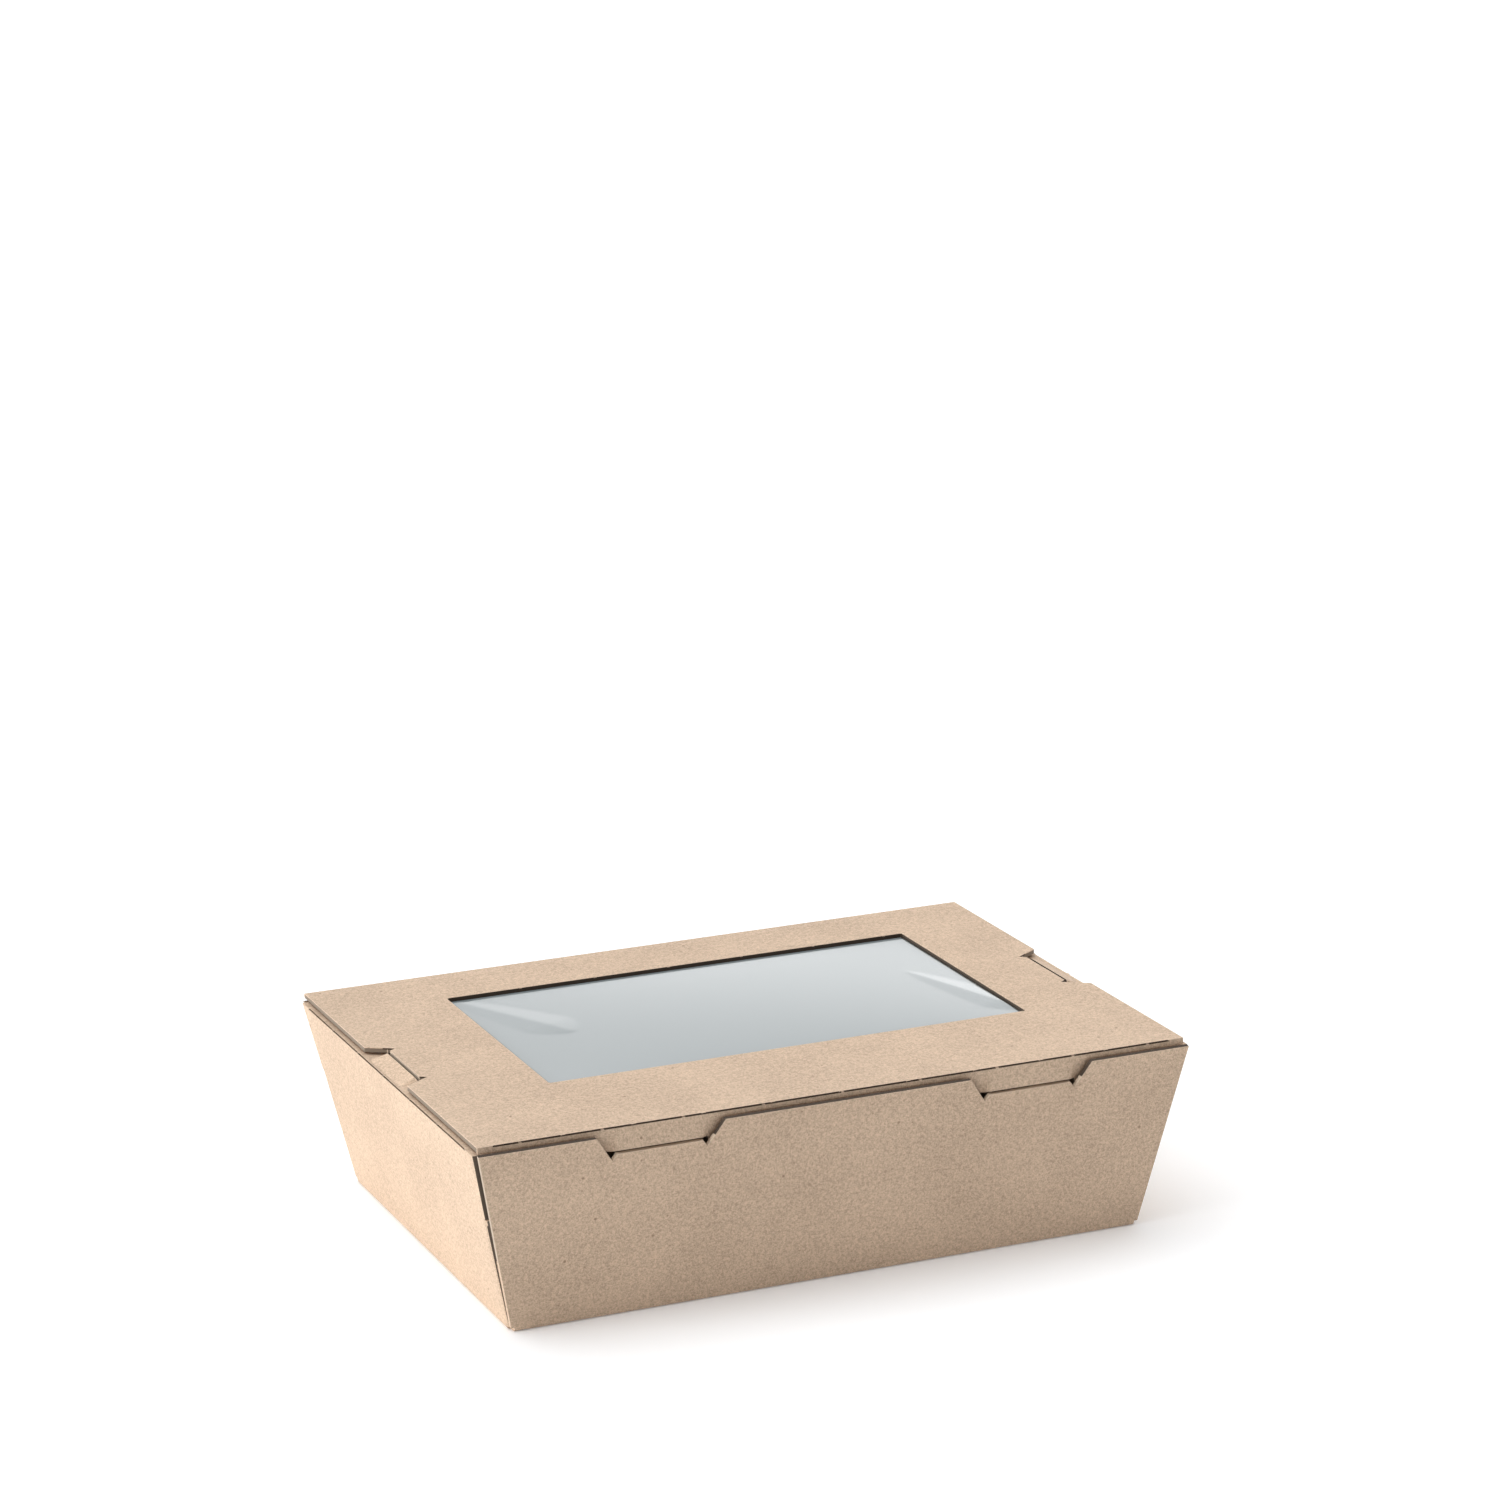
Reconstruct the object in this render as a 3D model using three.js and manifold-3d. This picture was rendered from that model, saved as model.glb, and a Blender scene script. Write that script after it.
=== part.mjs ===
// Kraft takeaway carton with a film window in its hinged lid.
// Millimetres, +Z up, origin at the middle of the underside, front towards -Y.
import * as THREE from "three";
import { mergeVertices } from "three/addons/utils/BufferGeometryUtils.js";
import Module from "manifold-3d";

const wasm = await Module();
wasm.setup();

// Board and film
const BOARD = 1.25;
const FILM = 0.25;
const GLUE = 0.1;
const CLEARANCE = 0.3;

// Tray, measured between the inner crease lines
const BASE_LENGTH = 171.5;
const BASE_DEPTH = 118.5;
const TOP_LENGTH = 191.9;
const TOP_DEPTH = 135.8;
const TRAY_HEIGHT = 49.8;
const FRONT_WALL_RISE = 0.45;
const EDGE_SETBACK_TOP = 0.85;
const EDGE_SETBACK_BASE = 0.35;

// Flaps glued behind the front and back walls
const CORNER_FLAP_LENGTH = 20;
const CORNER_FLAP_HEIGHT = 30.5;
const CORNER_FLAP_SLANT = 3;
const CORNER_SPRING = 0.4;
const CORNER_FREE_EDGE = 0.7;

// Flaps on top of the side walls
const SIDE_FLAP_WIDTH = 9;
const SIDE_FLAP_END = 2.6;
const SIDE_FLAP_TAPER = 0.35;
const SIDE_TAB_LIFT = 22;

// Lid and its front flap
const LID_GAP = 0.7;
const LID_SIDE_INSET = 1;
const LID_FRONT_INSET = 0.7;
const LID_EDGE_PROUD = 1.2;
const FRONT_FLAP_DEPTH = 9.5;
const FRONT_FLAP_TAPER = 0.45;
const FRONT_FLAP_END = 1;
const FRONT_TAB_LIFT = 23;

// Shape of both flaps: how far they dip beside their tabs, and the shoulders at their ends
const FLAP_DIP = 7;
const TAB_RISE = 3;
const TAB_FALL = 5;
const SHOULDER = 1;
const HEM = 0.06;

// Window and film
const WINDOW_LENGTH = 133.6;
const WINDOW_DEPTH = 77.2;
const WINDOW_SHIFT = 3.4;
const WINDOW_BACK_MARGIN = 21.5;
const WINDOW_CORNER = 0.8;
const FILM_OVERLAP = 9;

// Notched cut-outs that the flaps' tabs fill
const CUTOUT_LENGTH = 34;
const CUTOUT_DEPTH = 5.1;
const CUTOUT_RUN = 3.3;
const NOTCH_WIDTH = 2.3;
const NOTCH_DEPTH = 1.7;
const FRONT_CUTOUT_PITCH = 101;
const FRONT_CUTOUT_SHIFT = 1.3;

// Slits of the cut creases, with the uncut nicks between them
const SLIT_WIDTH = 0.3;
const SLIT_LENGTH = 19;
const SLIT_NICK = 1;
const SLIT_END = 3.7;

// Facets of folds and bends, and how far fused pieces lie inside each other's faces
const FOLD_STEPS = 8;
const BEND_STEPS = 5;
const FUSE = 0.03;
const STUB = 2;

const RAD = Math.PI / 180;
const vec = (x, y, z) => new THREE.Vector3(x, y, z);

// Leaning walls, and the heights and depths that follow from them
const creaseHeight = TRAY_HEIGHT - BOARD;
const frontTop = TRAY_HEIGHT + FRONT_WALL_RISE;
const flapTop = BOARD + CORNER_FLAP_HEIGHT;
const frontLean = Math.atan2((TOP_DEPTH - BASE_DEPTH) / 2, creaseHeight - BOARD);
const sideLean = Math.atan2((TOP_LENGTH - BASE_LENGTH) / 2, creaseHeight - BOARD);
const lidUnder = TRAY_HEIGHT + LID_GAP;
const lidTop = lidUnder + BOARD;
const hingeHeight = lidUnder + BOARD / 2;
const hingeDepth = inner(TRAY_HEIGHT)[1] + BOARD / Math.cos(frontLean) - BOARD / 2;
const lidHalfLength = TOP_LENGTH / 2 + BOARD / Math.cos(sideLean) - LID_SIDE_INSET;
const lidCrease = inner(lidUnder)[1] - (BOARD + CLEARANCE) / Math.cos(frontLean) - LID_FRONT_INSET;
const lidMiddle = (hingeDepth - lidCrease) / 2;
const tabHalf = CUTOUT_LENGTH / 2 - CUTOUT_RUN - CLEARANCE;

// The flaps on the side walls and the one on the lid, each with its tabs' depth inside a cut-out
const frontTabs = [-1, 1].map((side) => FRONT_CUTOUT_SHIFT + (side * FRONT_CUTOUT_PITCH) / 2);
const sideFlap = {
  depth: SIDE_FLAP_WIDTH,
  taper: SIDE_FLAP_TAPER,
  lift: SIDE_TAB_LIFT,
  half: inner(creaseHeight)[1] - SIDE_FLAP_END,
  boardHalf: inner(creaseHeight)[1],
  tabDepth: (TOP_LENGTH / 2 - lidHalfLength + CUTOUT_DEPTH - CLEARANCE) / Math.cos((SIDE_TAB_LIFT / 2) * RAD),
};
const frontFlap = {
  depth: FRONT_FLAP_DEPTH,
  taper: FRONT_FLAP_TAPER,
  lift: FRONT_TAB_LIFT,
  half: lidHalfLength - FRONT_FLAP_END,
  boardHalf: lidHalfLength,
  tabDepth: (lidUnder - frontTop) / Math.cos(frontLean) + CUTOUT_DEPTH - CLEARANCE,
};

// The sharp outer edges of the cut creases, measured from the creases on the inside
const sideEdge = [(BOARD * (1 + Math.sin(sideLean))) / Math.cos(sideLean), BOARD];
const lidEdge = [-LID_EDGE_PROUD, BOARD];

// Half length and half depth of the tray's inside at the height z.
function inner(z) {
  const share = (z - BOARD) / (creaseHeight - BOARD);
  return [
    BASE_LENGTH / 2 + ((TOP_LENGTH - BASE_LENGTH) / 2) * share,
    BASE_DEPTH / 2 + ((TOP_DEPTH - BASE_DEPTH) / 2) * share,
  ];
}

// A closed geometry as a solid, with its shared vertices merged.
function solid(geometry) {
  const bare = geometry.clone();
  bare.deleteAttribute("normal");
  bare.deleteAttribute("uv");
  const merged = mergeVertices(bare, 1e-5);
  const mesh = new wasm.Mesh({
    numProp: 3,
    vertProperties: new Float32Array(merged.attributes.position.array),
    triVerts: new Uint32Array(merged.index.array),
  });
  return new wasm.Manifold(mesh);
}

// A solid as a named mesh.
function named(name, body, material) {
  const mesh = body.getMesh();
  const geometry = new THREE.BufferGeometry();
  geometry.setAttribute("position", new THREE.BufferAttribute(mesh.vertProperties, 3));
  geometry.setIndex(new THREE.BufferAttribute(mesh.triVerts, 1));
  geometry.computeVertexNormals();
  const part = new THREE.Mesh(geometry, material);
  part.name = name;
  return part;
}

// A shape in the plane of u and v, thickened both ways along their normal, to cut with.
function cutter(shape, origin, u, v, reach) {
  const geometry = new THREE.ExtrudeGeometry(shape, { depth: 2 * reach, bevelEnabled: false, curveSegments: 4 });
  const normal = u.clone().cross(v);
  const corner = origin.clone().addScaledVector(normal, -reach);
  geometry.applyMatrix4(new THREE.Matrix4().makeBasis(u, v, normal).setPosition(corner));
  return solid(geometry);
}

function shapeOf(points) {
  return new THREE.Shape(points.map(([a, b]) => new THREE.Vector2(a, b)));
}

function offset(point, angle, distance) {
  return [point[0] + distance * Math.cos(angle), point[1] + distance * Math.sin(angle)];
}

// The closed outline of a folded board. Its inner face follows the given points, its outer face lies one
// thickness to their right, and every fold turns left. The outside of a fold is round, but that of the
// last fold is a sharp edge where one is given, measured from the fold.
function foldedBoard(points, edge = null, thickness = BOARD) {
  const facing = (a, b) => Math.atan2(b[1] - a[1], b[0] - a[0]) - Math.PI / 2;
  const outer = [offset(points[0], facing(points[0], points[1]), thickness)];
  const last = points.length - 1;
  for (let fold = 1; fold < last; fold += 1) {
    const before = facing(points[fold - 1], points[fold]);
    const turn = (facing(points[fold], points[fold + 1]) - before + 2 * Math.PI) % (2 * Math.PI);
    if (edge && fold === last - 1) {
      outer.push(offset(points[fold], before, thickness));
      outer.push([points[fold][0] + edge[0], points[fold][1] + edge[1]]);
      outer.push(offset(points[fold], before + turn, thickness));
    } else {
      for (let step = 0; step <= FOLD_STEPS; step += 1) {
        outer.push(offset(points[fold], before + (turn * step) / FOLD_STEPS, thickness));
      }
    }
  }
  outer.push(offset(points[last], facing(points[last - 1], points[last]), thickness));
  return [...outer, ...points.slice().reverse()];
}

// A closed outline in the plane of u and v, carried along their normal from station to station. Each
// station gives its place and its outline, all with as many points.
function loft(stations, origin, u, v) {
  const along = u.clone().cross(v);
  const ring = stations[0].outline.length;
  const positions = [];
  const index = [];
  for (const { place, outline } of stations) {
    for (const [a, b] of outline) {
      const point = origin.clone().addScaledVector(along, place);
      point.addScaledVector(u, a).addScaledVector(v, b);
      positions.push(point.x, point.y, point.z);
    }
  }
  for (let row = 0; row < stations.length - 1; row += 1) {
    for (let side = 0; side < ring; side += 1) {
      const a = row * ring + side;
      const b = row * ring + ((side + 1) % ring);
      index.push(a, b, a + ring, b, b + ring, a + ring);
    }
  }
  const last = (stations.length - 1) * ring;
  for (const [a, b, c] of capFaces(stations[0].outline)) {
    index.push(a, c, b);
  }
  for (const [a, b, c] of capFaces(stations[stations.length - 1].outline)) {
    index.push(last + a, last + b, last + c);
  }
  const geometry = new THREE.BufferGeometry();
  geometry.setAttribute("position", new THREE.BufferAttribute(new Float32Array(positions), 3));
  geometry.setIndex(index);
  return solid(geometry);
}

function capFaces(outline) {
  return THREE.ShapeUtils.triangulateShape(outline.map(([a, b]) => new THREE.Vector2(a, b)), []);
}

// A notched cut-out in an edge at height zero, from its mouth a little above the edge down to its floor,
// with a small V at each end of the floor.
function cutOut(centre) {
  const half = CUTOUT_LENGTH / 2;
  const floorEnd = half - CUTOUT_RUN;
  const rightHalf = [
    [floorEnd - NOTCH_WIDTH, -CUTOUT_DEPTH],
    [floorEnd - NOTCH_WIDTH / 2, -CUTOUT_DEPTH - NOTCH_DEPTH],
    [floorEnd, -CUTOUT_DEPTH],
    [half, 0],
    [half, 2 * BOARD],
  ];
  const leftHalf = rightHalf.map(([a, b]) => [-a, b]).reverse();
  return shapeOf([...leftHalf, ...rightHalf].map(([a, b]) => [centre + a, b]));
}

// A swing from 0 to 1 while t runs from 0 to 1, level at both ends.
function smooth(t) {
  return (1 - Math.cos(Math.PI * Math.min(Math.max(t, 0), 1))) / 2;
}

// How a flap is bent at a place along its crease, and how deep it is there. A tab is lifted and short, to
// fill its cut-out. Beside it the flap dips, and grows to its full depth. Its ends slant to a shoulder.
function flapAt(place, flap, tabs) {
  const distance = Math.min(...tabs.map((tab) => Math.abs(place - tab)));
  const lift = flap.lift * smooth((tabHalf - distance) / TAB_RISE);
  const dip = FLAP_DIP * smooth((distance - tabHalf) / TAB_FALL);
  const beside = Math.min(Math.max((BEND_STEPS * (distance - tabHalf)) / TAB_FALL, 0), 1);
  const full = flap.tabDepth + (flap.depth - flap.tabDepth) * beside;
  const room = flap.half - Math.abs(place);
  const reach = room > -HEM / 2 ? Math.min(full, SHOULDER + Math.max(room, 0) / flap.taper) : HEM;
  return { angle: (dip - lift) * RAD, reach };
}

// Where the sections of a flap's board stand: at its ends, its shoulders and its slants, and at every
// step of the bends beside the tabs.
function flapPlaces(flap, tabs) {
  const places = [];
  const slant = flap.half - flap.taper * (flap.depth - SHOULDER);
  for (const side of [-1, 1]) {
    places.push(side * flap.boardHalf, side * (flap.half + HEM), side * flap.half, side * slant);
    for (const tab of tabs) {
      for (let step = 0; step <= BEND_STEPS; step += 1) {
        places.push(tab + side * (tabHalf + (TAB_FALL * step) / BEND_STEPS));
      }
      for (let step = 1; step <= BEND_STEPS; step += 1) {
        places.push(tab + side * (tabHalf - (TAB_RISE * step) / BEND_STEPS));
      }
    }
  }
  return places.sort((a, b) => a - b);
}

// Slits along a cut crease, through its sharp edge, which lies in the plane of out and up at the given
// place from the crease.
function slits(crease, out, edge, halfLength) {
  const radial = out.clone().multiplyScalar(Math.abs(edge[0])).add(vec(0, 0, edge[1])).normalize();
  const along = out.clone().cross(vec(0, 0, 1));
  const sideways = radial.clone().cross(along);
  const run = 2 * (halfLength - SLIT_END);
  const count = Math.round(run / SLIT_LENGTH);
  const pitch = run / count;
  const cuts = [];
  for (let slit = 0; slit < count; slit += 1) {
    const box = new THREE.BoxGeometry(pitch - SLIT_NICK, SLIT_WIDTH, 3 * BOARD);
    const middle = crease.clone().addScaledVector(along, -run / 2 + pitch * (slit + 0.5));
    middle.addScaledVector(radial, BOARD);
    box.applyMatrix4(new THREE.Matrix4().makeBasis(along, sideways, radial).setPosition(middle));
    cuts.push(solid(box));
  }
  return cuts;
}

// Base, front wall and back wall: one folded profile across the whole length.
function baseAndEndWalls() {
  const outline = foldedBoard([
    [-inner(frontTop)[1], frontTop],
    [-BASE_DEPTH / 2, BOARD],
    [BASE_DEPTH / 2, BOARD],
    [inner(TRAY_HEIGHT)[1], TRAY_HEIGHT],
  ]);
  const halfLength = TOP_LENGTH / 2 + 2 * BOARD;
  const stations = [{ place: -halfLength, outline }, { place: halfLength, outline }];
  let body = loft(stations, vec(0, 0, 0), vec(0, 1, 0), vec(0, 0, 1));
  const up = vec(0, -Math.sin(frontLean), Math.cos(frontLean));
  const edge = vec(0, -inner(frontTop)[1], frontTop);
  for (const tab of frontTabs) {
    body = body.subtract(cutter(cutOut(tab), edge, vec(1, 0, 0), up, 2 * BOARD));
  }
  for (const side of [-1, 1]) {
    body = body.subtract(sideTrim(side));
  }
  return body;
}

// What is cut off past the end walls' side edges, which follow the side walls' outer faces.
function sideTrim(side) {
  const setback = (z) => EDGE_SETBACK_BASE + ((EDGE_SETBACK_TOP - EDGE_SETBACK_BASE) * z) / TRAY_HEIGHT;
  const edge = (z) => inner(z)[0] + BOARD / Math.cos(sideLean) - setback(z);
  const points = [
    [BASE_LENGTH / 2, -BOARD],
    [TOP_LENGTH, -BOARD],
    [TOP_LENGTH, TRAY_HEIGHT + BOARD],
    [edge(TRAY_HEIGHT + BOARD), TRAY_HEIGHT + BOARD],
    [edge(BOARD), BOARD],
    [BASE_LENGTH / 2, BOARD],
  ];
  return cutter(shapeOf(points.map(([a, b]) => [side * a, b])), vec(0, 0, 0), vec(1, 0, 0), vec(0, 0, 1), TOP_DEPTH);
}

// Where the side walls' corner creases lie at the height z, a board's thickness behind the end walls.
function cornerCrease(z) {
  const share = Math.min((z - BOARD) / CORNER_FLAP_HEIGHT, 1);
  return inner(z)[1] - (BOARD + GLUE) / Math.cos(frontLean) - CORNER_SPRING * share;
}

// A side wall with its fold to the base and the flap on top, whose tab fills the lid's cut-out.
function sideWall(side) {
  const tabs = [-side * lidMiddle];
  const stations = flapPlaces(sideFlap, tabs).map((place) => {
    const { angle, reach } = flapAt(place, sideFlap, tabs);
    const outline = foldedBoard([
      [BASE_LENGTH / 2 - STUB, BOARD],
      [BASE_LENGTH / 2, BOARD],
      [TOP_LENGTH / 2, creaseHeight],
      [TOP_LENGTH / 2 - reach * Math.cos(angle), creaseHeight - reach * Math.sin(angle)],
    ], sideEdge);
    return { place, outline };
  });
  let wall = loft(stations, vec(0, 0, 0), vec(side, 0, 0), vec(0, 0, 1));
  for (const end of [-1, 1]) {
    wall = wall.subtract(endTrim(end));
  }
  const crease = vec((side * TOP_LENGTH) / 2, 0, creaseHeight);
  for (const slit of slits(crease, vec(side, 0, 0), sideEdge, sideFlap.half)) {
    wall = wall.subtract(slit);
  }
  return wall;
}

// What is cut off past a side wall's ends: up to the corner crease below, a little further out above.
function endTrim(end) {
  const at = (z, proud) => [end * (cornerCrease(z) + proud), z];
  const above = TRAY_HEIGHT + BOARD;
  const points = [
    at(-BOARD, 0),
    at(BOARD, 0),
    at(flapTop, 0),
    at(flapTop, CORNER_FREE_EDGE),
    at(above, CORNER_FREE_EDGE),
    [end * TOP_DEPTH, above],
    [end * TOP_DEPTH, -BOARD],
  ];
  return cutter(shapeOf(points), vec(0, 0, 0), vec(0, 1, 0), vec(0, 0, 1), TOP_LENGTH);
}

// A corner flap, folded from the side wall's end to lie behind the front or back wall. Its profile is
// carried along the corner crease, a hair inside the faces of the wall that it grows out of.
function cornerFlap(side, end) {
  const low = vec((side * BASE_LENGTH) / 2, end * cornerCrease(BOARD), BOARD);
  const high = vec(side * inner(flapTop)[0], end * cornerCrease(flapTop), flapTop);
  const farDepth = inner(flapTop)[1] - (BOARD + GLUE) / Math.cos(frontLean);
  const far = vec(side * (inner(flapTop)[0] - CORNER_FLAP_LENGTH), end * farDepth, flapTop);
  const up = high.clone().sub(low).normalize();
  const height = high.distanceTo(low);
  const u = vec(side * Math.cos(sideLean), 0, -Math.sin(sideLean));
  const v = up.clone().multiplyScalar(side * end).cross(u);
  const reach = [far.clone().sub(high).dot(u), far.clone().sub(high).dot(v)];
  const turn = Math.atan2(reach[1], reach[0]) - Math.PI / 2;
  const outline = (shortened) => foldedBoard([
    [FUSE, -STUB],
    [FUSE, FUSE * Math.tan(turn / 2)],
    [FUSE + reach[0] * shortened, FUSE * Math.tan(turn / 2) + reach[1] * shortened],
  ], null, BOARD - 2 * FUSE);
  const slanted = 1 - CORNER_FLAP_SLANT / CORNER_FLAP_LENGTH;
  const stations = [
    { place: FUSE, outline: outline(slanted) },
    { place: CORNER_FLAP_SLANT, outline: outline(1) },
    { place: height - CORNER_FLAP_SLANT, outline: outline(1) },
    { place: height, outline: outline(slanted) },
  ];
  if (side * end > 0) {
    return loft(stations, low, u, v);
  }
  const turned = stations.map(({ place, outline: shape }) => ({ place: height - place, outline: shape }));
  return loft(turned.reverse(), high, u, v);
}

// The tray: base, walls and flaps, folded from one sheet.
function tray() {
  let body = baseAndEndWalls();
  for (const side of [-1, 1]) {
    body = body.add(sideWall(side));
    for (const end of [-1, 1]) {
      body = body.add(cornerFlap(side, end));
    }
  }
  return body;
}

// The lid: one folded profile with a half-round hinge edge at the back and the tuck flap at the front,
// whose two tabs fill the front wall's cut-outs. The window and a cut-out each side are cut from it.
function lid() {
  const stations = flapPlaces(frontFlap, frontTabs).map((place) => {
    const { angle, reach } = flapAt(place, frontFlap, frontTabs);
    const lean = frontLean + angle;
    const outline = foldedBoard([
      [hingeDepth, lidUnder],
      [-lidCrease, lidUnder],
      [-lidCrease + reach * Math.sin(lean), lidUnder - reach * Math.cos(lean)],
    ], lidEdge);
    return { place, outline: [...outline, ...hingeRound()] };
  });
  let body = loft(stations, vec(0, 0, 0), vec(0, 1, 0), vec(0, 0, 1));
  body = body.subtract(cutter(windowShape(), vec(0, 0, lidTop), vec(1, 0, 0), vec(0, 1, 0), 2 * BOARD));
  for (const side of [-1, 1]) {
    const edge = vec(side * lidHalfLength, 0, lidTop);
    body = body.subtract(cutter(cutOut(lidMiddle), edge, vec(0, 1, 0), vec(side, 0, 0), 2 * BOARD));
  }
  const crease = vec(0, -lidCrease, lidUnder);
  for (const slit of slits(crease, vec(0, -1, 0), lidEdge, lidHalfLength)) {
    body = body.subtract(slit);
  }
  return body;
}

// The round of the hinge edge, from the lid's underside to its top.
function hingeRound() {
  const points = [];
  for (let step = 1; step < 2 * FOLD_STEPS; step += 1) {
    const angle = -Math.PI / 2 + (Math.PI * step) / (2 * FOLD_STEPS);
    points.push(offset([hingeDepth, hingeHeight], angle, BOARD / 2));
  }
  return points;
}

// Depth of the window's middle, measured from the lid's back edge.
function windowMiddle() {
  return hingeDepth + BOARD / 2 - WINDOW_BACK_MARGIN - WINDOW_DEPTH / 2;
}

// The window's outline, with slightly rounded corners.
function windowShape() {
  const shape = new THREE.Shape();
  const corners = [[-1, -1, 0], [1, -1, 1], [1, 1, 2], [-1, 1, 3]];
  for (const [a, b, quarter] of corners) {
    const x = WINDOW_SHIFT + a * (WINDOW_LENGTH / 2 - WINDOW_CORNER);
    const y = windowMiddle() + b * (WINDOW_DEPTH / 2 - WINDOW_CORNER);
    const from = Math.PI + (quarter * Math.PI) / 2;
    shape.absarc(x, y, WINDOW_CORNER, from, from + Math.PI / 2, false);
  }
  return shape;
}

// The film, glued to the lid's underside all round the window.
function film() {
  const box = new THREE.BoxGeometry(WINDOW_LENGTH + 2 * FILM_OVERLAP, WINDOW_DEPTH + 2 * FILM_OVERLAP, FILM);
  box.translate(WINDOW_SHIFT, windowMiddle(), lidUnder - GLUE - FILM / 2);
  return solid(box);
}

const kraft = new THREE.MeshStandardMaterial({ color: 0xbfa486, roughness: 0.85, metalness: 0 });
const clearFilm = new THREE.MeshStandardMaterial({
  color: 0xcfd8da,
  roughness: 0.12,
  metalness: 0,
  transparent: true,
  opacity: 0.5,
});

const carton = new THREE.Group();
carton.add(named("tray", tray(), kraft));
carton.add(named("lid", lid(), kraft));
carton.add(named("window_film", film(), clearFilm));

export default carton;
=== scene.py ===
# Window lunch box: a kraft board carton, its lid with a film window, on a pale studio floor.
# The frame gives the tray, the lid and the film. This script gives the board its paper and cut edges, and
# makes the film anew.
import math

import bpy
import numpy as np
from mathutils import Matrix, Vector


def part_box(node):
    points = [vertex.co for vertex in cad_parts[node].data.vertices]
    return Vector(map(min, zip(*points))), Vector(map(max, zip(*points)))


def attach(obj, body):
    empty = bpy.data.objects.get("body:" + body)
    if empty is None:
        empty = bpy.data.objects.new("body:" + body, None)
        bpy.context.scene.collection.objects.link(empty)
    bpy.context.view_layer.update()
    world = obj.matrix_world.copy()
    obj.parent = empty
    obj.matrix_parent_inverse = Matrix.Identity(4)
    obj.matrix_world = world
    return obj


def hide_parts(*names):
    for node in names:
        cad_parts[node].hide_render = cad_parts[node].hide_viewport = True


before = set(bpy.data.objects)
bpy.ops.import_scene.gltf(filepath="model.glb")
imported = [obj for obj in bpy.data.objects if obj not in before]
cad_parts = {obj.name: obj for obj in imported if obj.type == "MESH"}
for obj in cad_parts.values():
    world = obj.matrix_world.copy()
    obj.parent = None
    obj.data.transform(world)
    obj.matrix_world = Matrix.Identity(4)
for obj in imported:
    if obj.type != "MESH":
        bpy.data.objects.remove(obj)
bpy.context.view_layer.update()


# The camera
# It stands left of the middle and a little above the lid, with a long lens, as in the photograph. The last
# value is where the frame's origin lies along the camera's right, up and back, in metres.
CAMERA_LENS_MM = 109.8
CAMERA_SENSOR_MM = 36.0
CAMERA_AZIMUTH = math.radians(-22.845)
CAMERA_ELEVATION = math.radians(14.69)
CAMERA_ROLL = math.radians(-1.03)
ORIGIN_IN_VIEW = Vector((-0.00273, -0.11973, -1.21164))


def camera_axes(azimuth, elevation, roll):
    """The camera's right, up and back directions: right lies level, back points from the object to the
    camera, and the roll turns right and up about back."""
    right = Vector((math.cos(azimuth), math.sin(azimuth), 0))
    back = Vector((
        math.sin(azimuth) * math.cos(elevation),
        -math.cos(azimuth) * math.cos(elevation),
        math.sin(elevation),
    ))
    up = back.cross(right)
    turned_right = math.cos(roll) * right + math.sin(roll) * up
    turned_up = -math.sin(roll) * right + math.cos(roll) * up
    return Matrix((turned_right, turned_up, back))


to_world = camera_axes(CAMERA_AZIMUTH, CAMERA_ELEVATION, CAMERA_ROLL).transposed()
lens = bpy.data.cameras.new("camera")
lens.lens = CAMERA_LENS_MM
lens.sensor_width = CAMERA_SENSOR_MM
camera = bpy.data.objects.new("camera", lens)
camera.matrix_world = Matrix.Translation(to_world @ -ORIGIN_IN_VIEW) @ to_world.to_4x4()
bpy.context.scene.collection.objects.link(camera)
bpy.context.scene.camera = camera


# The studio
# A pale matt floor with a slight glow. The white sweep round it is dim in front, bright behind and low down,
# with a white card on the right. A wide soft light hangs overhead, and a lower one lights the left wall.
FLOOR_HALF = 6.0
FLOOR_DROP = 0.00005
FLOOR_COLOR = (0.95, 0.965, 0.985)
FLOOR_GLOW = 0.1
WHITE = (1, 1, 1, 1)
# Each span gives the part of the direction's Y, Z or X over which the sweep changes.
SWEEP_FRONT, SWEEP_BACK, SWEEP_SPAN = 0.11, 0.84, (-0.6, 0.5)
SWEEP_HORIZON, HORIZON_SPAN = 0.75, (0.14, 0.4)
SWEEP_CARD, CARD_SPAN = 1.6, (0.28, 0.56)
SWEEP_SEEN = 1.1
# Each light: its name, the direction that it comes from, its strength and its width in degrees.
LIGHTS = (
    ("overhead", (-0.3, 0.02, 1.0), 1.74, 75),
    ("left", (-1.0, 0.08, 0.1), 2.75, 35),
)


def set_sockets(tree, node, sockets):
    """Fills a node's sockets, called by name, or in0, in1 and so on by number. A socket given as the value is
    linked, and anything else is stored."""
    for key, value in sockets.items():
        socket = node.inputs[int(key[2:])] if key.startswith("in") else node.inputs[key.replace("_", " ")]
        if isinstance(value, bpy.types.NodeSocket):
            tree.links.new(value, socket)
        else:
            socket.default_value = value


def add_node(tree, kind, settings=None, **sockets):
    """A new node of the kind, with its settings and its sockets."""
    node = tree.nodes.new(kind)
    for key, value in (settings or {}).items():
        setattr(node, key, value)
    set_sockets(tree, node, sockets)
    return node


def math_node(tree, operation, *values):
    """The result of the operation on one, two or three values."""
    sockets = {f"in{number}": value for number, value in enumerate(values)}
    return add_node(tree, "ShaderNodeMath", {"operation": operation}, **sockets).outputs[0]


def ramp(tree, value, low, high, start=0.0, end=1.0):
    """Start where the value is at low, end where it is at high, a smooth step between and level beyond."""
    return add_node(tree, "ShaderNodeMapRange", {"interpolation_type": "SMOOTHSTEP"},
                    Value=value, From_Min=low, From_Max=high, To_Min=start, To_Max=end).outputs[0]


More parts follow.
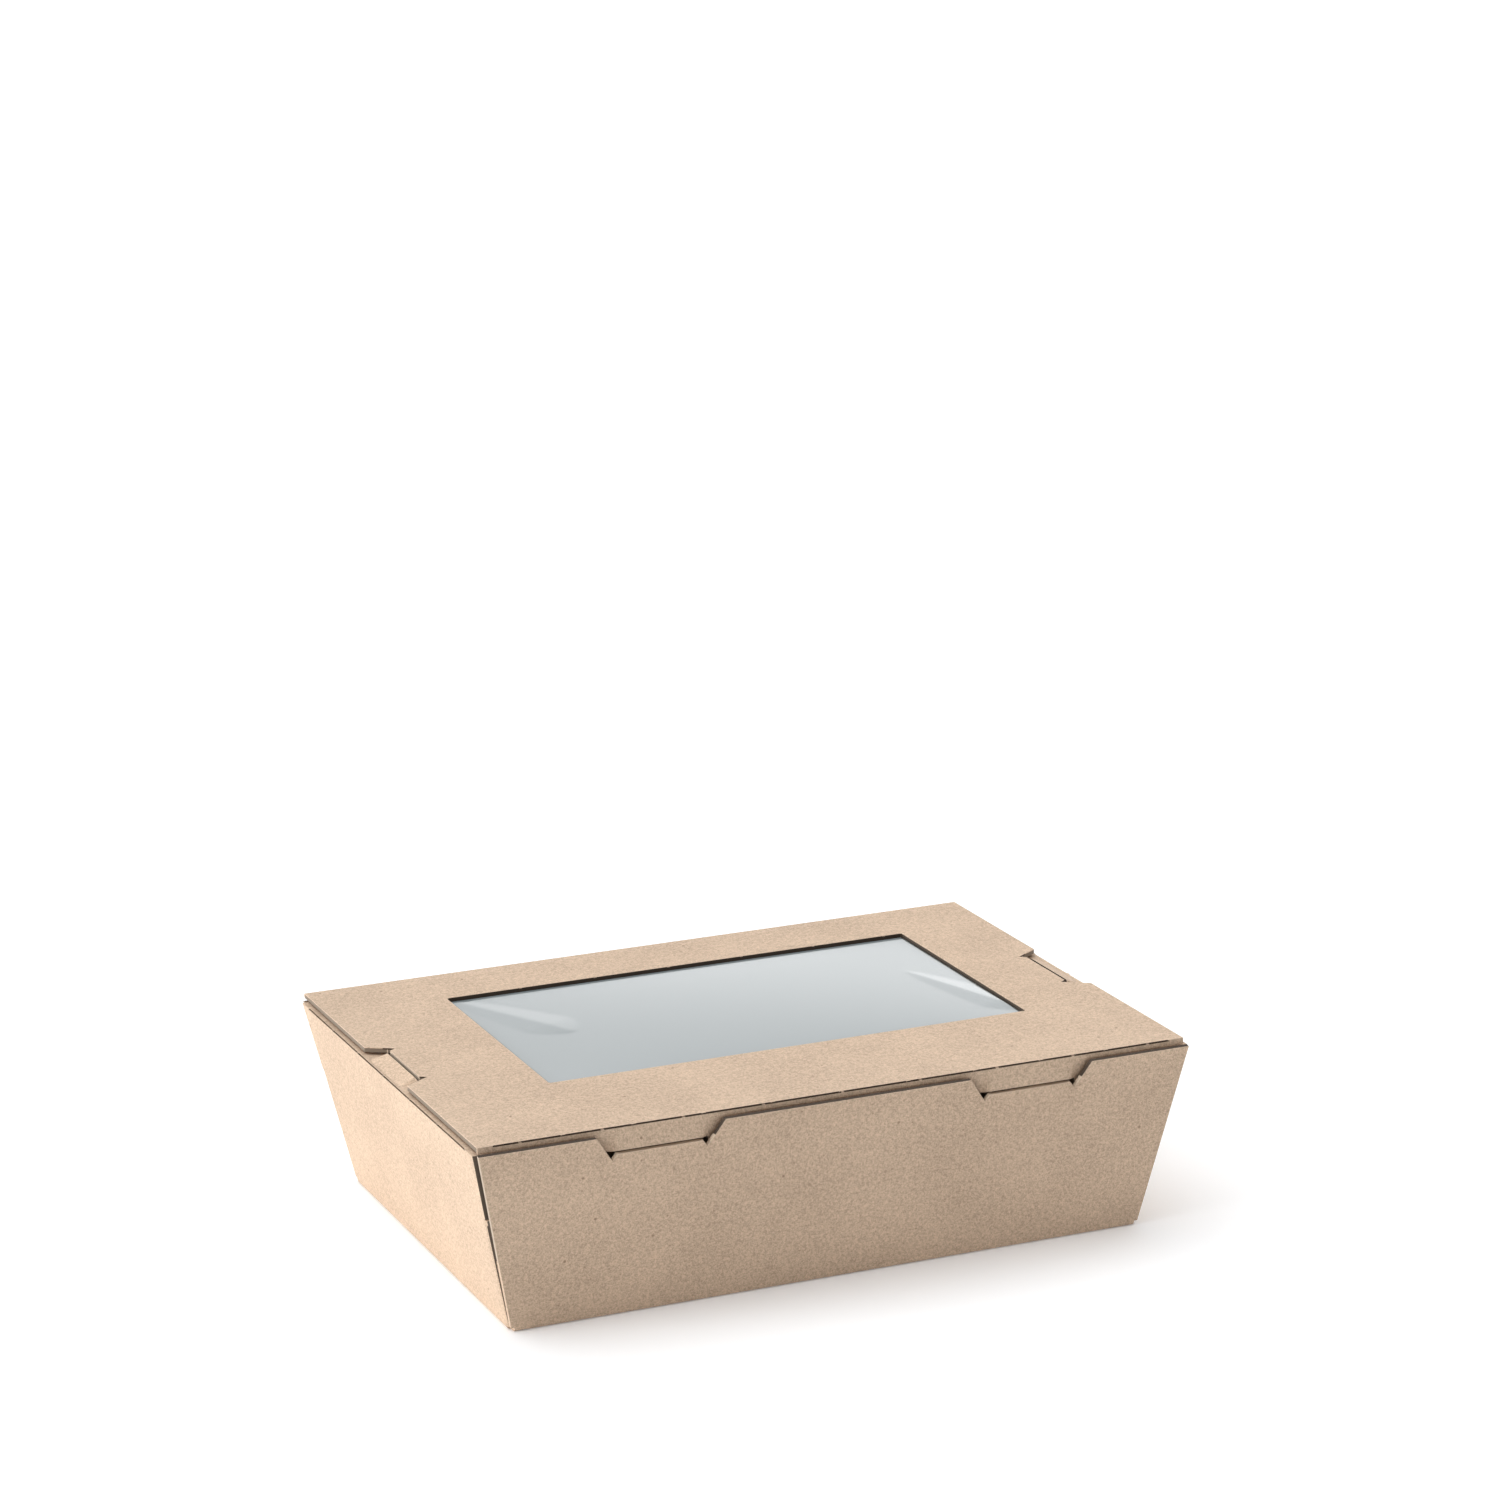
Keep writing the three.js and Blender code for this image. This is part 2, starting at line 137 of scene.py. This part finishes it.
def split(tree, vector):
    """The vector's X, Y and Z."""
    return tuple(add_node(tree, "ShaderNodeSeparateXYZ", Vector=vector).outputs)


def new_material(name, **sockets):
    """A material with its node tree and its Principled BSDF, which gets the sockets' values."""
    material = bpy.data.materials.new(name)
    material.use_nodes = True
    shader = material.node_tree.nodes["Principled BSDF"]
    set_sockets(material.node_tree, shader, sockets)
    return material, material.node_tree, shader


floor_mesh = bpy.data.meshes.new("floor")
corners = np.array([[-1, -1], [1, -1], [1, 1], [-1, 1]]) * FLOOR_HALF
floor_mesh.from_pydata(np.column_stack([corners, np.full(4, -FLOOR_DROP)]).tolist(), [], [[0, 1, 2, 3]])
floor = bpy.data.objects.new("floor", floor_mesh)
bpy.context.scene.collection.objects.link(floor)
floor_paint, _, _ = new_material(
    "floor_paint", Base_Color=(*FLOOR_COLOR, 1), Roughness=0.9, Specular_IOR_Level=0.2,
    Emission_Color=WHITE, Emission_Strength=FLOOR_GLOW)
floor_mesh.materials.append(floor_paint)

sweep = bpy.data.worlds.new("sweep")
sweep.use_nodes = True
tree = sweep.node_tree
x, y, z = split(tree, add_node(tree, "ShaderNodeTexCoord").outputs["Generated"])
low_down = ramp(tree, z, *HORIZON_SPAN, 1.0, 0.0)
around = math_node(tree, "MULTIPLY", ramp(tree, y, *SWEEP_SPAN, SWEEP_FRONT, SWEEP_BACK),
                   math_node(tree, "MULTIPLY_ADD", low_down, SWEEP_HORIZON, 1.0))
card = ramp(tree, x, *CARD_SPAN, 0.0, SWEEP_CARD)
lit = tree.nodes["Background"]
set_sockets(tree, lit, {"Color": WHITE, "Strength": math_node(tree, "MULTIPLY_ADD", card, low_down, around)})
seen = add_node(tree, "ShaderNodeBackground", Color=WHITE, Strength=SWEEP_SEEN)
by_camera = add_node(tree, "ShaderNodeLightPath").outputs["Is Camera Ray"]
mixed = add_node(tree, "ShaderNodeMixShader", in0=by_camera, in1=lit.outputs[0], in2=seen.outputs[0])
set_sockets(tree, tree.nodes["World Output"], {"Surface": mixed.outputs[0]})
bpy.context.scene.world = sweep

for name, source, strength, angle in LIGHTS:
    light = bpy.data.lights.new(name, "SUN")
    light.energy = strength
    light.angle = math.radians(angle)
    lamp = bpy.data.objects.new(name, light)
    lamp.matrix_world = Vector(source).to_track_quat("Z", "Y").to_matrix().to_4x4()
    bpy.context.scene.collection.objects.link(lamp)
bpy.context.scene.view_settings.view_transform = "Standard"


# The tray
# Folded up from one die-cut sheet of kraft micro-flute board, as the lid is. Both liners are uncoated brown
# paper with fine mixed fibres and sparse dark specks. The cut edges are pale, a painted highlight where they
# catch the light, with dark flutes inside that are darkened further as painted shade.
LINER_LIGHT = (0.7, 0.525, 0.38)
LINER_DARK = (0.385, 0.28, 0.197)
LINER_SPECK = (0.2, 0.125, 0.075)
# The pale edge colour is a painted highlight. The core colour is the dark flutes, darkened further as painted
# shade. The crease colour is painted shade in slits and in gaps between parts.
EDGE_PALE_HIGHLIGHT = (0.78, 0.63, 0.48)
EDGE_CORE_AND_SHADE = (0.045, 0.03, 0.02)
CREASE_SHADE = (0.06, 0.04, 0.027)
# Each noise in the paper: its cells per metre, its detail and roughness, the part of it that counts, and its
# share of the tone.
PAPER_NOISES = {
    "cloud": (45.0, 2.0, 0.5, (0.3, 0.7), 0.16),
    "mottle": (1150.0, 3.0, 0.65, (0.38, 0.62), 0.34),
    "grain": (2500.0, 3.0, 0.65, (0.38, 0.62), 0.5),
}
FIBRE_STRETCHES = ((420.0, 2600.0, 2600.0), (2200.0, 480.0, 650.0))
FIBRE_SPAN = (0.56, 0.72)
FIBRE_TINT, FIBRE_RELIEF = 0.35, 0.5
# Each kind of speck: its cells per metre, the share of them that hold one, its radius in cells and its depth.
SPECKS = ((260.0, 0.1, 0.13, 0.65), (620.0, 0.12, 0.22, 0.4))
PAPER_ROUGHNESS, MOTTLE_SHINE = 0.84, 0.14
PAPER_BUMP, PAPER_RELIEF = 0.35, 0.00006
# The rim is a painted highlight along rounded edges: the bevel's radius, the turn of the normal over which it
# fades in, and how far it takes the colour to the pale edge.
RIM_RADIUS, RIM_SPAN, RIM_HIGHLIGHT = 0.00025, (0.8, 0.99), 0.5


def mix_color(tree, factor, a, b):
    """Mixes colour a towards b by the factor. Colours are sockets or linear red, green and blue."""
    pair = {key: value if isinstance(value, bpy.types.NodeSocket) else (*value, 1)
            for key, value in (("in6", a), ("in7", b))}
    return add_node(tree, "ShaderNodeMix", {"data_type": "RGBA"}, in0=factor, **pair).outputs[2]


def chain(tree, operation, values):
    """Joins the values one after another by the operation."""
    result = values[0]
    for value in values[1:]:
        result = math_node(tree, operation, result, value)
    return result


def product(tree, *values):
    """The product of the values: of masks, where all of them hold."""
    return chain(tree, "MULTIPLY", values)


def most(tree, *values):
    """The highest of the values: of masks, where any of them holds."""
    return chain(tree, "MAXIMUM", values)


def kraft_group():
    """Kraft liner on Object coordinates. Clouds of 22 mm, mottle of 0.9 mm and grain of 0.4 mm mix a light
    and a dark brown, stretched noise draws the fibres, and a few cells of a Voronoi grid hold a dark speck.
    Rim takes the colour to the pale edge as a painted highlight along rounded edges. Cut Edge takes it to the
    pale edge, itself a painted highlight. The second input takes it there on to the dark flutes inside,
    darkened further as painted shade. Crease takes it to painted shade in a cut crease's slits and in gaps
    between parts."""
    group = bpy.data.node_groups.new("kraft_liner", "ShaderNodeTree")
    for name in ("Cut Edge", "Core", "Rim", "Crease"):
        group.interface.new_socket(name, in_out="INPUT", socket_type="NodeSocketFloat")
    group.interface.new_socket("Color", in_out="OUTPUT", socket_type="NodeSocketColor")
    for name in ("Roughness", "Height"):
        group.interface.new_socket(name, in_out="OUTPUT", socket_type="NodeSocketFloat")
    given = group.nodes.new("NodeGroupInput").outputs
    place = add_node(group, "ShaderNodeTexCoord").outputs["Object"]

    noises, tone = {}, 0.0
    for name, (scale, detail, roughness, span, share) in PAPER_NOISES.items():
        noises[name] = add_node(group, "ShaderNodeTexNoise", Vector=place, Scale=scale, Detail=detail,
                                Roughness=roughness).outputs[0]
        tone = math_node(group, "MULTIPLY_ADD", ramp(group, noises[name], *span), share, tone)
    strands = []
    for stretch in FIBRE_STRETCHES:
        stretched = add_node(group, "ShaderNodeMapping", Vector=place, Scale=stretch).outputs[0]
        strand = add_node(group, "ShaderNodeTexNoise", Vector=stretched, Scale=1.0, Detail=2.0, Distortion=1.5)
        strands.append(ramp(group, strand.outputs[0], *FIBRE_SPAN))
    fibres = most(group, *strands)
    liner = mix_color(group, tone, LINER_DARK, LINER_LIGHT)
    liner = mix_color(group, product(group, fibres, FIBRE_TINT), liner, LINER_LIGHT)
    for scale, share, radius, depth in SPECKS:
        cells = add_node(group, "ShaderNodeTexVoronoi", Vector=place, Scale=scale).outputs
        chance = add_node(group, "ShaderNodeSeparateColor", Color=cells["Color"]).outputs[0]
        dot = ramp(group, cells["Distance"], radius / 2, radius, depth, 0.0)
        speck = product(group, dot, math_node(group, "GREATER_THAN", chance, 1 - share))
        liner = mix_color(group, speck, liner, LINER_SPECK)

    # Painted light and shade: the pale edge and the rim are painted highlights, the dark flutes are darkened
    # further as painted shade, and the crease colour is painted shade.
    edge = mix_color(group, given["Core"], EDGE_PALE_HIGHLIGHT, EDGE_CORE_AND_SHADE)
    color = mix_color(group, given["Rim"], liner, EDGE_PALE_HIGHLIGHT)
    color = mix_color(group, given["Cut Edge"], color, edge)
    color = mix_color(group, given["Crease"], color, CREASE_SHADE)
    add_node(group, "NodeGroupOutput", Color=color,
             Roughness=math_node(group, "MULTIPLY_ADD", noises["mottle"], -MOTTLE_SHINE, PAPER_ROUGHNESS),
             Height=math_node(group, "MULTIPLY_ADD", fibres, FIBRE_RELIEF, noises["grain"]))
    return group


liner_group = kraft_group()


def board_material(name, masks):
    """Kraft board. masks(tree, place, normal) gives where its cut edges are, how dark their inner flutes and
    painted shade are, and where its creases are painted dark as shade. The rim, a painted highlight, is where
    the normal of a rounded edge turns away from the flat one."""
    material, tree, shader = new_material(name, Specular_IOR_Level=0.22, Sheen_Weight=0.06, Sheen_Roughness=0.6)
    spot = add_node(tree, "ShaderNodeTexCoord").outputs
    cut, core_and_shade, crease = masks(tree, spot["Object"], spot["Normal"])
    # The rim: a painted highlight where a rounded edge's normal turns away from the flat one.
    rounded = add_node(tree, "ShaderNodeBevel", {"samples": 4}, Radius=RIM_RADIUS).outputs[0]
    flat = add_node(tree, "ShaderNodeNewGeometry").outputs["Normal"]
    turn = add_node(tree, "ShaderNodeVectorMath", {"operation": "DOT_PRODUCT"}, in0=rounded, in1=flat)
    rim = ramp(tree, turn.outputs["Value"], *RIM_SPAN, RIM_HIGHLIGHT, 0.0)
    liner = add_node(tree, "ShaderNodeGroup", {"node_tree": liner_group},
                     Cut_Edge=cut, Core=core_and_shade, Rim=rim, Crease=crease).outputs
    bump = add_node(tree, "ShaderNodeBump", Height=liner["Height"], Strength=PAPER_BUMP, Distance=PAPER_RELIEF)
    set_sockets(tree, shader, {
        "Base Color": liner["Color"], "Roughness": liner["Roughness"], "Normal": bump.outputs[0]})
    return material


def cover(node, masks):
    """Gives a CAD node kraft board in place of its own material."""
    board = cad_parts[node]
    board.data.materials.clear()
    board.data.materials.append(board_material(node + "_board", masks))


def over(tree, value, limit):
    """1 where the value is over the limit, else 0."""
    return math_node(tree, "GREATER_THAN", value, limit)


def under(tree, value, limit):
    """1 where the value is under the limit, else 0."""
    return math_node(tree, "LESS_THAN", value, limit)


def between(tree, value, low, high):
    """1 between low and high, else 0."""
    return product(tree, over(tree, value, low), under(tree, value, high))


def size_of(tree, value):
    """The value without its sign."""
    return math_node(tree, "ABSOLUTE", value)


def opposite(tree, mask):
    """1 where the mask is 0, and 0 where it is 1."""
    return math_node(tree, "SUBTRACT", 1.0, mask)


# How far a face's normal has to point up, sideways or endways to count, for flat and for leaning faces.
FACES_UP, FACES_SIDEWAYS, FACES_ENDWAYS, SIDE_WALL_FACE = 0.5, 0.6, 0.7, 0.9
# The walls' inner faces lean: half the tray's inside depth is 59.25 mm at 1.25 mm up and grows by 0.1829
# of the height above that, and half its inside length is 85.75 mm and grows by 0.2156.
WALL_FOOT = 0.00125
HALF_DEPTH, DEPTH_GROWTH = 0.05925, 0.1829
HALF_LENGTH, LENGTH_GROWTH = 0.08575, 0.2156
BOARD_ACROSS = 0.00127
IN_END_WALL, IN_SIDE_WALL, BEFORE_END_WALL = 0.0001, 0.0002, 0.0005
OUTER_LINER = 0.00014
EDGES_FROM = 0.02
CUTOUT_FLOOR = 0.0462
END_ZONE = 0.08
# How far the dark flutes, darkened further as painted shade, show in a wall's free end and in a corner's side
# edge, and the range of all of them.
WALL_END_CORE_SHADE, CORNER_EDGE_CORE_SHADE = 0.9, 0.35
TRAY_CORE_SHADE_RANGE, TRAY_CORE_SHADE_LEAST = 0.8, 0.18
# The side flaps' cut creases are painted as dark lines of shade above this height and within this half depth.
FLAP_CREASE_FROM, FLAP_CREASE_HALF = 0.04948, 0.0617
# The corner gap, painted as a dark line of shade: the heights between which it shows, and its width at the base
# and for each metre up.
CORNER_SPAN, CORNER_GAP, CORNER_OPENING = (0.0025, 0.03), 0.0004, 0.025


def tray_masks(tree, place, normal):
    """On the tray: the end walls' top edges are cut and dark, the flutes darkened further as painted shade of
    the gap behind them. The floors of their cut-outs and their side edges are cut and pale, and the floors are
    kept pale as painted light against the shade in the cut-outs. The side walls' free ends are cut and dark,
    partly painted shade. The side flaps' cut creases are dark lines of painted shade at the top of the side
    walls. Low down, a dark line of painted shade, narrowing to the base, parts each side wall from the end
    walls."""
    x, y, z = split(tree, place)
    facing_x, facing_y, facing_z = split(tree, normal)
    along, depth = size_of(tree, x), size_of(tree, y)
    rise = math_node(tree, "SUBTRACT", z, WALL_FOOT)
    inside = math_node(tree, "MULTIPLY_ADD", rise, DEPTH_GROWTH, HALF_DEPTH)
    side_inside = math_node(tree, "MULTIPLY_ADD", rise, LENGTH_GROWTH, HALF_LENGTH)
    into_board = math_node(tree, "SUBTRACT", math_node(tree, "ADD", inside, BOARD_ACROSS), depth)
    sideways = over(tree, size_of(tree, facing_x), FACES_SIDEWAYS)
    high_up, above_cutouts = over(tree, z, EDGES_FROM), over(tree, z, CUTOUT_FLOOR)
    at_end = over(tree, along, END_ZONE)

    in_end_wall = over(tree, depth, math_node(tree, "SUBTRACT", inside, IN_END_WALL))
    top_edge = product(tree, over(tree, facing_z, FACES_UP), in_end_wall, high_up,
                       most(tree, over(tree, into_board, OUTER_LINER), opposite(tree, above_cutouts)))
    side_edge = product(tree, sideways, in_end_wall, high_up)
    wall_end = product(tree, over(tree, size_of(tree, facing_y), FACES_ENDWAYS), high_up,
                       over(tree, along, math_node(tree, "SUBTRACT", side_inside, IN_SIDE_WALL)),
                       under(tree, depth, math_node(tree, "SUBTRACT", inside, BEFORE_END_WALL)))
    cut = most(tree, top_edge, side_edge, wall_end)

    # The end walls' top edges are painted dark, the flutes darkened further as shade of the gap behind them. The
    # cut-outs' floors, below their height, keep only the least dark: painted light against the shade there.
    cutout_side = product(tree, side_edge, opposite(tree, at_end))
    core_and_shade = most(tree, product(tree, most(tree, top_edge, cutout_side), above_cutouts),
                product(tree, wall_end, WALL_END_CORE_SHADE), product(tree, side_edge, at_end, CORNER_EDGE_CORE_SHADE))
    core_and_shade = math_node(tree, "MULTIPLY_ADD", core_and_shade, TRAY_CORE_SHADE_RANGE, TRAY_CORE_SHADE_LEAST)

    # The flap creases and the corner gap are painted dark as shade.
    flap_crease = product(tree, over(tree, size_of(tree, facing_x), SIDE_WALL_FACE),
                          over(tree, z, FLAP_CREASE_FROM), under(tree, depth, FLAP_CREASE_HALF))
    corner_width = math_node(tree, "MULTIPLY_ADD", z, CORNER_OPENING, BOARD_ACROSS + CORNER_GAP)
    corner = product(tree, sideways, over(tree, into_board, BOARD_ACROSS), under(tree, into_board, corner_width),
                     between(tree, z, *CORNER_SPAN))
    return cut, core_and_shade, most(tree, flap_crease, corner)


cover("tray", tray_masks)


# The lid
# A panel of the same board, joined to the back wall by a crease. The window and a notched cut-out in each side
# are cut from it, and its front tuck flap hangs on a cut crease, a row of slits with short nicks between them.
LID_UNDER, LID_TOP = 0.0505, 0.05175
LID_FRONT_EDGE, LID_BACK_EDGE = -0.0668, 0.0687
LID_SLACK = 0.0001
FACES_FRONT = -0.5
LID_TOP_LINER = 0.00022
SIDE_CUTOUT_FLOOR = 0.09113
WINDOW_ZONE = 0.08
# How far the dark flutes, partly painted shade, show in a cut edge, how much more painted shade there is
# round the window, and how much the cut-outs' floors are painted lighter.
LID_CORE_SHADE, WINDOW_SHADE, CUTOUT_PAINTED_LIGHT = 0.78, 0.2, 0.6
# The cut crease, painted as a dark line of shade: its half length, the depths under the top between which it
# lies, and its nicks' pitch and gap.
LID_CREASE_HALF, LID_CREASE_LOW, LID_CREASE_HIGH = 0.0922, 0.00042, 0.00004
NICK_PITCH, NICK_GAP = 0.0214, 0.0008


def nicked(tree, value, pitch, gap):
    """0 over a gap once in each pitch, else 1: the short uncut nicks of a cut crease."""
    turn = math_node(tree, "FRACT", math_node(tree, "DIVIDE", value, pitch))
    return over(tree, turn, gap / pitch)


def lid_masks(tree, place, normal):
    """On the lid: the upright faces of the panel are cut below the top liner, with dark flutes darkened further
    as painted shade, most round the window's cut edges. The side cut-outs' floors are painted lighter, painted
    light against the shade there, and the cut crease is a dark line of painted shade under the front edge,
    with nicks."""
    x, y, z = split(tree, place)
    _, facing_y, facing_z = split(tree, normal)
    across = size_of(tree, x)
    cut = product(tree, under(tree, size_of(tree, facing_z), FACES_UP),
                  between(tree, z, LID_UNDER - LID_SLACK, LID_TOP - LID_TOP_LINER),
                  between(tree, y, LID_FRONT_EDGE, LID_BACK_EDGE))
    cutout_floor = between(tree, across, SIDE_CUTOUT_FLOOR - LID_SLACK, SIDE_CUTOUT_FLOOR + LID_SLACK)
    # More painted shade round the window's cut edges, and painted light on the side cut-outs' floors.
    core_and_shade = math_node(tree, "MULTIPLY_ADD", under(tree, across, WINDOW_ZONE), WINDOW_SHADE, LID_CORE_SHADE)
    core_and_shade = math_node(tree, "MULTIPLY_ADD", cutout_floor, -CUTOUT_PAINTED_LIGHT, core_and_shade)
    # The cut crease's dark line is painted shade in its slits.
    crease = product(tree, under(tree, facing_y, FACES_FRONT), under(tree, across, LID_CREASE_HALF),
                     between(tree, z, LID_TOP - LID_CREASE_LOW, LID_TOP - LID_CREASE_HIGH),
                     nicked(tree, x, NICK_PITCH, NICK_GAP))
    return cut, core_and_shade, crease


cover("lid", lid_masks)


# The window's film
# A thin clear plastic sheet, glued to the lid's underside round the window. It stands up into the opening,
# bulges a little, has a slight haze, and two shallow folds run in from corners of the window.
FILM_COLOR = (0.255, 0.3, 0.312)
FILM_ALPHA, FILM_GLUED_ALPHA = 0.88, 0.2
FILM_COAT_IOR = 2.1
FILM_THICKNESS = 0.0001
FILM_MARGIN, FILM_LIP = 0.009, 0.0001
FILM_STAND, FILM_STAND_RUN = 0.0005, 0.0009
FILM_BILLOW, FILM_FULLNESS = 0.00055, 0.7
# The grid's even lines along X and Y, and the finer ones by the window's edges: how far in, how many, and the
# least gap between two lines.
FILM_GRID = (221, 141)
FINE_BAND, FINE_LINES, LEAST_GAP = 0.0015, 9, 0.00004
# Each fold: its start and end, its full width and its slope. It opens and closes by a power of its length, and
# closes over the last fifth of it.
FILM_FOLDS = (
    ((-0.0625, 0.049), (-0.0425, 0.008), 0.0095, 0.028),
    ((0.057, 0.018), (0.0715, -0.025), 0.008, 0.028),
)
FOLD_OPENING, FOLD_CLOSING, FOLD_END = 0.6, 0.5, 1 / 5

film_low, film_high = (Vector(corner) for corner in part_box("window_film"))


def film_lines(low, high, count):
    """The grid's lines from low to high: even ones, and finer ones inside the window's two edges."""
    fine = np.linspace(0.0, FINE_BAND, FINE_LINES)
    lines = [np.linspace(low, high, count), low + FILM_MARGIN + fine, high - FILM_MARGIN - fine]
    lines = np.unique(np.round(np.concatenate(lines), 6))
    lines = lines[np.concatenate([[True], np.diff(lines) > LEAST_GAP])]
    lines[-1] = high
    return lines


def film_rise(gx, gy, low, high):
    """The film's height at each point. Inside the glued margin, with s and t from 0 to 1 across the window
    and d the distance to its nearest edge, it is the stand times smoothstep(d / run), plus the billow times
    sin(pi s) sin(pi t) to the power of the fullness. Each fold is a tent: its slope times (width - distance
    from its line), where the width opens along the fold and closes at its end."""
    s = np.clip((gx - low[0] - FILM_MARGIN) / (high[0] - low[0] - 2 * FILM_MARGIN), 0, 1)
    t = np.clip((gy - low[1] - FILM_MARGIN) / (high[1] - low[1] - 2 * FILM_MARGIN), 0, 1)
    nearest = np.minimum.reduce([gx - low[0], high[0] - gx, gy - low[1], high[1] - gy]) - FILM_MARGIN
    d = np.clip((nearest - FILM_LIP) / FILM_STAND_RUN, 0, 1)
    rise = FILM_STAND * d * d * (3 - 2 * d)
    rise = rise + FILM_BILLOW * (np.sin(np.pi * s) * np.sin(np.pi * t)) ** FILM_FULLNESS
    for start, end, width, slope in FILM_FOLDS:
        run = np.hypot(end[0] - start[0], end[1] - start[1])
        ux, uy = (end[0] - start[0]) / run, (end[1] - start[1]) / run
        along = np.clip(((gx - start[0]) * ux + (gy - start[1]) * uy) / run, 0, 1)
        across = np.abs((gx - start[0]) * -uy + (gy - start[1]) * ux)
        closing = np.clip((1 - along) / FOLD_END, 0, 1) ** FOLD_CLOSING
        rise = rise + slope * np.clip(width * along ** FOLD_OPENING * closing - across, 0, None) * d
    return rise


def film_shell(low, high):
    """A closed sheet over the rectangle: a top at the rise, a bottom one thickness lower and a rim."""
    gx, gy = np.meshgrid(*(film_lines(low[axis], high[axis], FILM_GRID[axis]) for axis in (0, 1)), indexing="ij")
    top = np.stack([gx, gy, high[2] + film_rise(gx, gy, low, high)], axis=-1).reshape(-1, 3)
    bottom = top - np.array([0, 0, FILM_THICKNESS])
    index = np.arange(gx.size).reshape(gx.shape)
    quads = np.stack([index[:-1, :-1], index[1:, :-1], index[1:, 1:], index[:-1, 1:]], axis=-1).reshape(-1, 4)
    rim = np.concatenate([index[:-1, 0], index[-1, :-1], index[:0:-1, -1], index[0, :0:-1]])
    after = np.roll(rim, -1)
    count = len(top)
    walls = np.stack([rim + count, after + count, after, rim], axis=-1)
    faces = np.concatenate([quads, quads[:, ::-1] + count, walls])
    mesh = bpy.data.meshes.new("film_sheet")
    mesh.from_pydata(np.concatenate([top, bottom]).tolist(), [], faces.tolist())
    mesh.polygons.foreach_set("use_smooth", np.ones(len(faces), dtype=bool))
    return mesh


film_mesh = film_shell(film_low, film_high)
film = bpy.data.objects.new("film_sheet", film_mesh)
bpy.context.scene.collection.objects.link(film)
film_plastic, tree, shader = new_material(
    "film_plastic", Base_Color=(*FILM_COLOR, 1), Roughness=0.3, IOR=1.5,
    Coat_Weight=1.0, Coat_Roughness=0.04, Coat_IOR=FILM_COAT_IOR)
place = split(tree, add_node(tree, "ShaderNodeTexCoord").outputs["Object"])
in_window = product(tree, *(
    between(tree, place[axis], film_low[axis] + FILM_MARGIN, film_high[axis] - FILM_MARGIN) for axis in (0, 1)))
haze = math_node(tree, "MULTIPLY_ADD", in_window, FILM_ALPHA - FILM_GLUED_ALPHA, FILM_GLUED_ALPHA)
set_sockets(tree, shader, {"Alpha": haze})
film_mesh.materials.append(film_plastic)
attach(film, "lid")
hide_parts("window_film")
